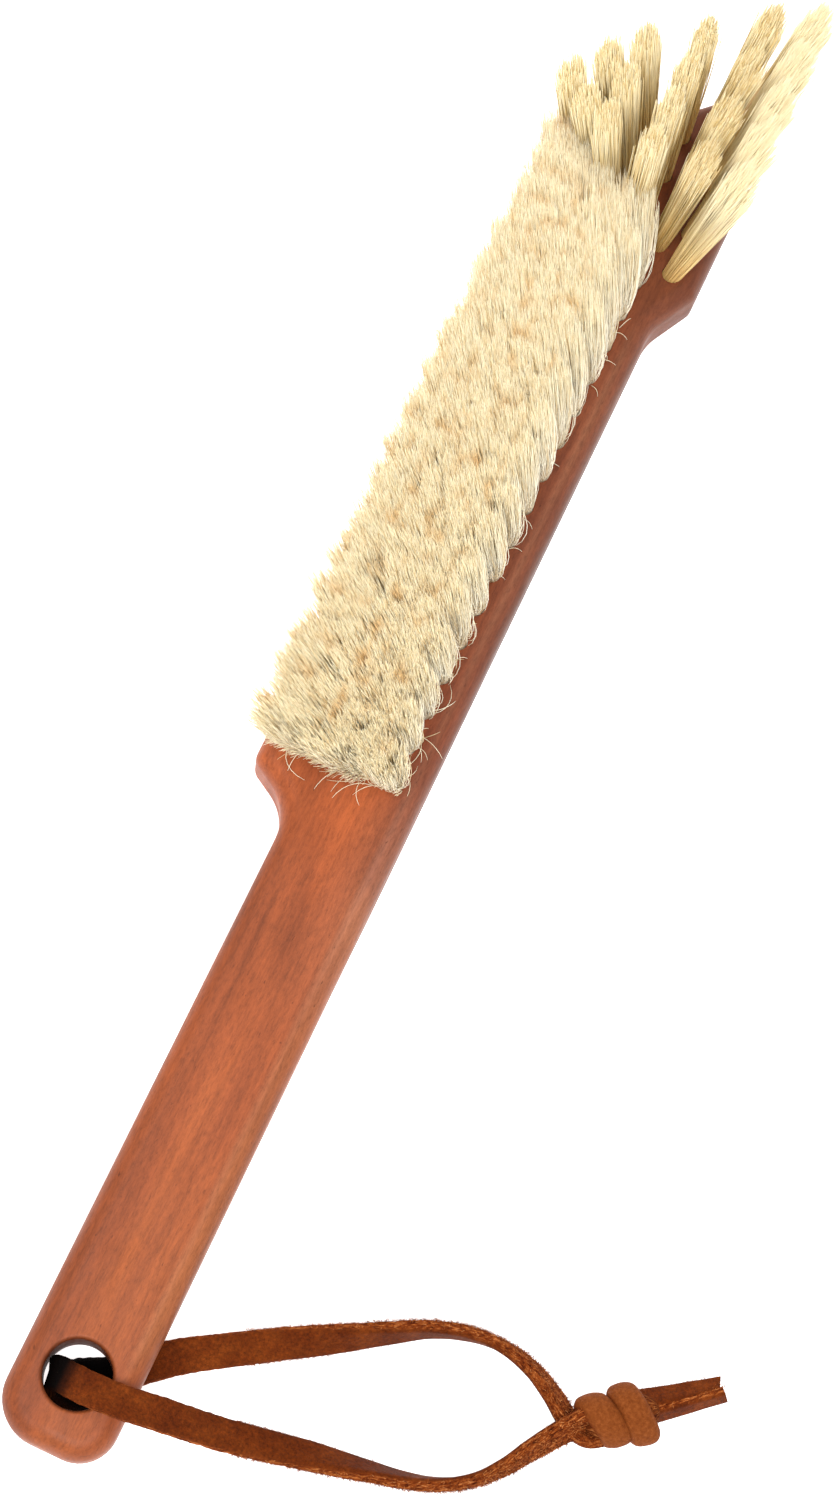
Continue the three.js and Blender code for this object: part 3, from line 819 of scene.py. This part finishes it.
PAD_HEIGHT, FAN_HEIGHT = 27.0, 40.0
PAD_HAIRS, FRINGE_HAIRS, FAN_HAIRS = 1150, 950, 600
BUNCH_RADIUS = 2.1  # of a tuft where it leaves the wood
ROOT_DEPTH = 1.5  # how far below the face the hairs start
LOCKS = 30  # in each soft tuft
PAD_REACH = (6.2, 5.6)  # how far a soft tuft's tips spread, sideways and lengthways

STRAYS = [  # hairs, two corners of the strip their roots are in, heading and its spread, lengths, heights
    (7, (-20, 134.5), (-10, 136.5), 205, 40, (6, 9), (0.3, 1.5)),
    (8, (-6, 134), (4, 136), 215, 45, (4, 9), (0.3, 1.5)),
    (9, (4.6, 137), (5.6, 158), -20, 40, (4, 8), (0.5, 2.5)),
    (26, (4.6, 136), (5.8, 262), 30, 75, (1.5, 4), (0.3, 1.6)),
]
STRAY_RADII = [0.09, 0.09, 0.085, 0.08, 0.075, 0.07, 0.06, 0.04]

# How far a fan tuft's tips spread sideways and lengthways, and the part of the tints it has, by comb. Comb
# 5's darker tints are painted shade and comb 6's paler tints painted light.
FAN_REACH = {5: (3.0, 4.6), 6: (3.6, 4.8)}
COMMON_REACH, LOOSE_REACH = (2.6, 3.5), (3.7, 5.8)
FAN_PAINTED_LIGHT_TINTS = {5: (0, 0.5), 6: (0.4, 1)}
COMMON_TINTS = (0, 0.75)


def bristle_material(name, root, middle, tip, depth_shade, tints, roughness):
    """Bristle coloured from root to tip, each hair with its own tint. A root colour darker than the tip is
    painted shade at the foot of the tufts.

    `depth_shade` is a painted shade colour for the shorter hairs between the tips, which light reaches only
    through the others.
    """
    material, tree, shader = new_material(name, roughness, Specular_IOR_Level=0.3)
    colour = ramp(tree, attribute(tree, "along"), (0, root), (0.4, middle), (0.85, tip))
    colour = mix(tree, attribute(tree, "depth_shade"), colour, depth_shade)
    low, high = tints
    darkest = tuple(0.72 * c for c in low)
    tint = ramp(tree, attribute(tree, "tint"), (0, darkest), (0.12, low), (0.36, (1.0, 1.0, 1.0)), (1, high))
    tree.links.new(multiply(tree, colour, tint), shader.inputs["Base Color"])
    return material


def disc(draw, count):
    """Random places, evenly spread over a circle of radius one."""
    angle = draw.uniform(0, 2 * np.pi, count)
    radius = draw.random(count) ** 0.5
    return np.stack([radius * np.cos(angle), radius * np.sin(angle)], 1)


def hair_heights(lift, s):
    """Heights along hairs that start below the face and end `lift` above it."""
    return (FACE_Z - ROOT_DEPTH) + (lift[:, None] + ROOT_DEPTH) * s[..., 0]


def pad_tip(x, y):
    """Where a pad tuft's middle ends, at tip height. The far right corner's tips lean further out and on."""
    near_to_far = [137, 158, 270]
    lean = np.interp(y, near_to_far, [-4.6, -6.0, -7.7])
    spread = np.interp(y, near_to_far, [1.22, 1.06, 0.9])
    corner = np.clip((y - 250) / 20, 0, 1) * np.clip((x + 8) / 12, 0, 1)
    tip_x = PAD_MIDDLE_X + lean + (x - PAD_MIDDLE_X) * spread + 2.5 * corner
    tip_y = PAD_MIDDLE_Y + 0.825 + (y - PAD_MIDDLE_Y) * 1.07 + 1.8 * corner
    return np.array([tip_x, tip_y])


def pad_paths(draw, middle, root, tip, lift):
    """Paths that leave the hole together, come quickly apart, then go up and over to their tips."""
    count = len(root)
    s = np.linspace(0, 1, 6)[None, :, None]
    lean = (tip.mean(0) - middle)[None, None]
    splay = (tip - tip.mean(0) - (root - middle))[:, None]
    ground = root[:, None] + lean * s**1.1 + splay * (0.75 * (1 - (1 - s) ** 3) + 0.25 * s)
    ground = ground + 0.3 * np.sin(np.pi * s) * draw.normal(size=(count, 1, 2))
    return np.concatenate([ground, hair_heights(lift, s)[..., None]], 2)


def pad_tuft(draw, x, y):
    """Hair paths of one tuft, its tips in small locks, and how much painted shade each hair gets for lying
    low between the others.
    """
    count = PAD_HAIRS
    middle = np.array([x, y])
    root = middle + BUNCH_RADIUS * disc(draw, count)
    locks = disc(draw, LOCKS)
    lock = draw.integers(0, LOCKS, count)
    footprint = 0.78 * locks[lock] + 0.3 * disc(draw, count)
    lift = PAD_HEIGHT + draw.normal(0, 0.5, LOCKS)[lock] + draw.normal(0, 0.8, count)
    lift -= 1.2 * (footprint**2).sum(1)
    place = pad_tip(x, y) + footprint * PAD_REACH
    valley = np.clip(1.5 * rough(np.column_stack([place * (1, 0.7), 0 * lift]), 2.7, 5), 0, 1)
    lift -= 2.4 * valley
    short = np.where(draw.random(count) < 0.36, draw.uniform(0.7, 0.96, count), 1)

    # The left tuft in a row of two reaches out to the pad's left side, between the first column's tufts.
    left_of_two = PAD_MIDDLE_X - COLUMN_STEP / 2
    reaches_left = abs(x - left_of_two) < 1
    outer = np.array([1.8, 0]) if reaches_left else 0
    tip = middle + (pad_tip(x, y) - outer - middle) * short[:, None] + footprint * PAD_REACH
    if reaches_left:
        tip[:, 0] -= 2.2 * np.clip(-footprint[:, 0], 0, 1)

    # Painted shade goes on short hairs and on hairs in the valleys between locks. Hairs on the pad's right
    # and near sides stand in the light down to their feet, so they get little of it.
    depth_shade = np.clip(np.maximum((1 - short) / 0.12, 0.85 * valley), 0, 1)
    at_right = x > PAD_MIDDLE_X + COLUMN_STEP / 4
    at_near_end = y < PAD_FIRST_Y + 1.5 * ROW_STEP
    outside = (at_right & (footprint[:, 0] > 0.15)) | (at_near_end & (footprint[:, 1] < -0.1))
    return pad_paths(draw, middle, root, tip, lift * short), np.where(outside, 0.1 * depth_shade, depth_shade)


def pad_fringe(draw, x, y):
    """Shorter hairs that fill out the near end of the pad, pushed outwards by the rest."""
    count = FRINGE_HAIRS
    at_right = x > PAD_MIDDLE_X
    middle = np.array([x, y])
    root = middle + BUNCH_RADIUS * disc(draw, count)
    share = 0.14 + 0.84 * draw.random(count)
    spread = draw.uniform(-1, 0.55 if at_right else 1, count)
    out = draw.uniform(0.8, 3.8 if at_right else 6.0, count) * (1 - 0.15 * spread**2)
    tip = middle + (pad_tip(x, y) - middle) * share[:, None] + np.stack([6.4 * spread, -out], 1)
    return pad_paths(draw, middle, root, tip, PAD_HEIGHT * share), np.zeros(count)


def stray_paths(draw, count, low, high, heading, spread, lengths, heights):
    """Single hairs that have worked loose at the roots and lie out over the wood."""
    root = draw.uniform(low, high, (count, 2))
    angle = np.radians(heading + draw.uniform(-spread, spread, count))
    reach = draw.uniform(*lengths, count)[:, None, None]
    s = np.linspace(0, 1, len(STRAY_RADII))[None, :, None]
    bend = np.radians(draw.normal(0, 45, count))[:, None] * s[..., 0]
    way = np.stack([np.cos(angle[:, None] + bend), np.sin(angle[:, None] + bend)], -1)
    ground = root[:, None] + reach * s * way
    arch = np.sin(np.pi * np.clip(s[..., 0] * 0.85, 0, 1))
    height = FACE_Z + 0.15 + draw.uniform(*heights, count)[:, None] * arch
    return np.concatenate([ground, height[..., None]], 2)


def make_pad():
    soft = bristle_material(
        "soft_bristle", root=srgb(254, 242, 216), middle=srgb(254, 250, 233), tip=srgb(254, 246, 218),
        depth_shade=srgb(238, 204, 146), tints=((0.82, 0.69, 0.50), (1.08, 1.05, 1.0)), roughness=0.5)
    draw = np.random.default_rng(7)
    rows = {}
    for number, x, y in pad_roots():
        rows.setdefault(number, []).append(pad_tuft(draw, x, y))
        if number == 1:
            rows[number].append(pad_fringe(draw, x, y))
    for number, tufts in rows.items():
        paths, depth_shade = (np.concatenate(part) for part in zip(*tufts))
        hairs, points = paths.shape[:2]
        shares = np.linspace(0, 1, points)
        radii = draw.uniform(0.065, 0.1, (hairs, 1)) * np.interp(shares, [0, 0.75, 1], [1, 0.9, 0.35])
        values = {"along": shares[None], "tint": draw.random((hairs, 1)),
                  "depth_shade": depth_shade[:, None] * np.linspace(0.2, 1, points)}
        piece = strands(f"soft_bristle_row_{number:02d}", paths, radii, soft, values, seed=number)
        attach(piece, "root")
        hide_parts(f"pad_row_{number:02d}")

    strays = np.concatenate([stray_paths(draw, *group) for group in STRAYS])
    radii = np.broadcast_to(np.array(STRAY_RADII), strays.shape[:2])
    values = {"along": np.full((1, 1), 0.8), "tint": draw.random((len(strays), 1))}
    piece = strands("soft_bristle_strays", strays, radii, soft, values, seed=77)
    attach(piece, "root")


def fan_tuft(draw, root, tip, reach):
    """Hair paths of one stiff tuft: nearly straight, a little higher at the far side, with ragged tips."""
    count = FAN_HAIRS
    place = disc(draw, count)
    s = np.linspace(0, 1, 5)[None, :, None]
    start = root + BUNCH_RADIUS * place
    narrowing = 1 - 0.2 * np.maximum(place[:, 1:], 0)
    end = tip + place * reach * narrowing + draw.normal(0, 0.55, (count, 2))
    lift = FAN_HEIGHT - 1 + draw.normal(0, 1.3, count) - 0.7 * place[:, 0] ** 2 + 2.2 * place[:, 1]
    lift += 0.3 * rough(np.column_stack([end, 0 * lift]), 1.1, 3)
    ground = start[:, None] + (end - start)[:, None] * s
    ground = ground + 0.2 * np.sin(np.pi * s) * draw.normal(size=(count, 1, 2))
    return np.concatenate([ground, hair_heights(lift, s)[..., None]], 2)


def make_fan():
    # The darker golden root colour is painted shade at the foot of the stiff tufts.
    stiff = bristle_material(
        "stiff_bristle", root=srgb(230, 188, 112), middle=srgb(250, 224, 160), tip=srgb(254, 240, 198),
        depth_shade=srgb(222, 176, 100), tints=((0.84, 0.72, 0.50), (1.03, 1.05, 1.14)), roughness=0.4)
    draw = np.random.default_rng(19)
    for comb, number, root, tip in fan_roots():
        loose = comb == 6 and number < 3
        reach = LOOSE_REACH if loose else FAN_REACH.get(comb, COMMON_REACH)
        paths = fan_tuft(draw, root, tip, reach)
        hairs, points = paths.shape[:2]
        shares = np.linspace(0, 1, points)
        radii = draw.uniform(0.1, 0.14, (hairs, 1)) * np.interp(shares, [0, 0.8, 1], [1, 0.95, 0.55])
        tint = draw.uniform(*FAN_PAINTED_LIGHT_TINTS.get(comb, COMMON_TINTS), (hairs, 1))
        piece = strands(f"stiff_bristle_{comb}_{number}", paths, radii, stiff,
                        {"along": shares[None], "tint": tint}, seed=comb * 10 + number)
        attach(piece, "root")
        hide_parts(f"fan_tuft_{comb}_{number}")


# ---------------------------------------------------------------- floor and light

def make_stage():
    material, tree, shader = new_material("floor", 0.9, Specular_IOR_Level=0.1)
    shader.inputs["Base Color"].default_value = (0.9, 0.9, 0.9, 1)
    shader.inputs["Emission Color"].default_value = (1, 1, 1, 1)
    shader.inputs["Emission Strength"].default_value = 0.75
    half, z = 3, -0.0002
    corners = [(-half, -half, z), (half, -half, z), (half, half, z), (-half, half, z)]
    mesh = bpy.data.meshes.new("floor")
    mesh.from_pydata(corners, [], [(0, 1, 2, 3)])
    mesh.materials.append(material)
    floor = bpy.data.objects.new("floor", mesh)
    bpy.context.collection.objects.link(floor)


def softbox(name, at, aim, size, power):
    data = bpy.data.lights.new(name, "AREA")
    data.shape, data.size, data.energy = "DISK", size, power
    lamp = bpy.data.objects.new(name, data)
    lamp.location = at
    lamp.rotation_euler = (Vector(aim) - Vector(at)).to_track_quat("-Z", "Y").to_euler()
    bpy.context.collection.objects.link(lamp)


def make_light():
    world = bpy.data.worlds.new("world")
    bpy.context.scene.world = world
    world.use_nodes = True
    sky = world.node_tree.nodes["Background"]
    sky.inputs["Color"].default_value = (1, 1, 1, 1)
    sky.inputs["Strength"].default_value = 0.72
    softbox("key", at=(0.1, -0.45, 1.13), aim=(0, -0.02, 0), size=0.7, power=13)
    softbox("rim", at=(-0.5, 0.5, 0.8), aim=(0, 0.06, 0), size=0.4, power=3)
    bpy.context.scene.view_settings.view_transform = "Standard"


make_camera()
make_thong()
make_wood()
make_pad()
make_fan()
make_stage()
make_light()
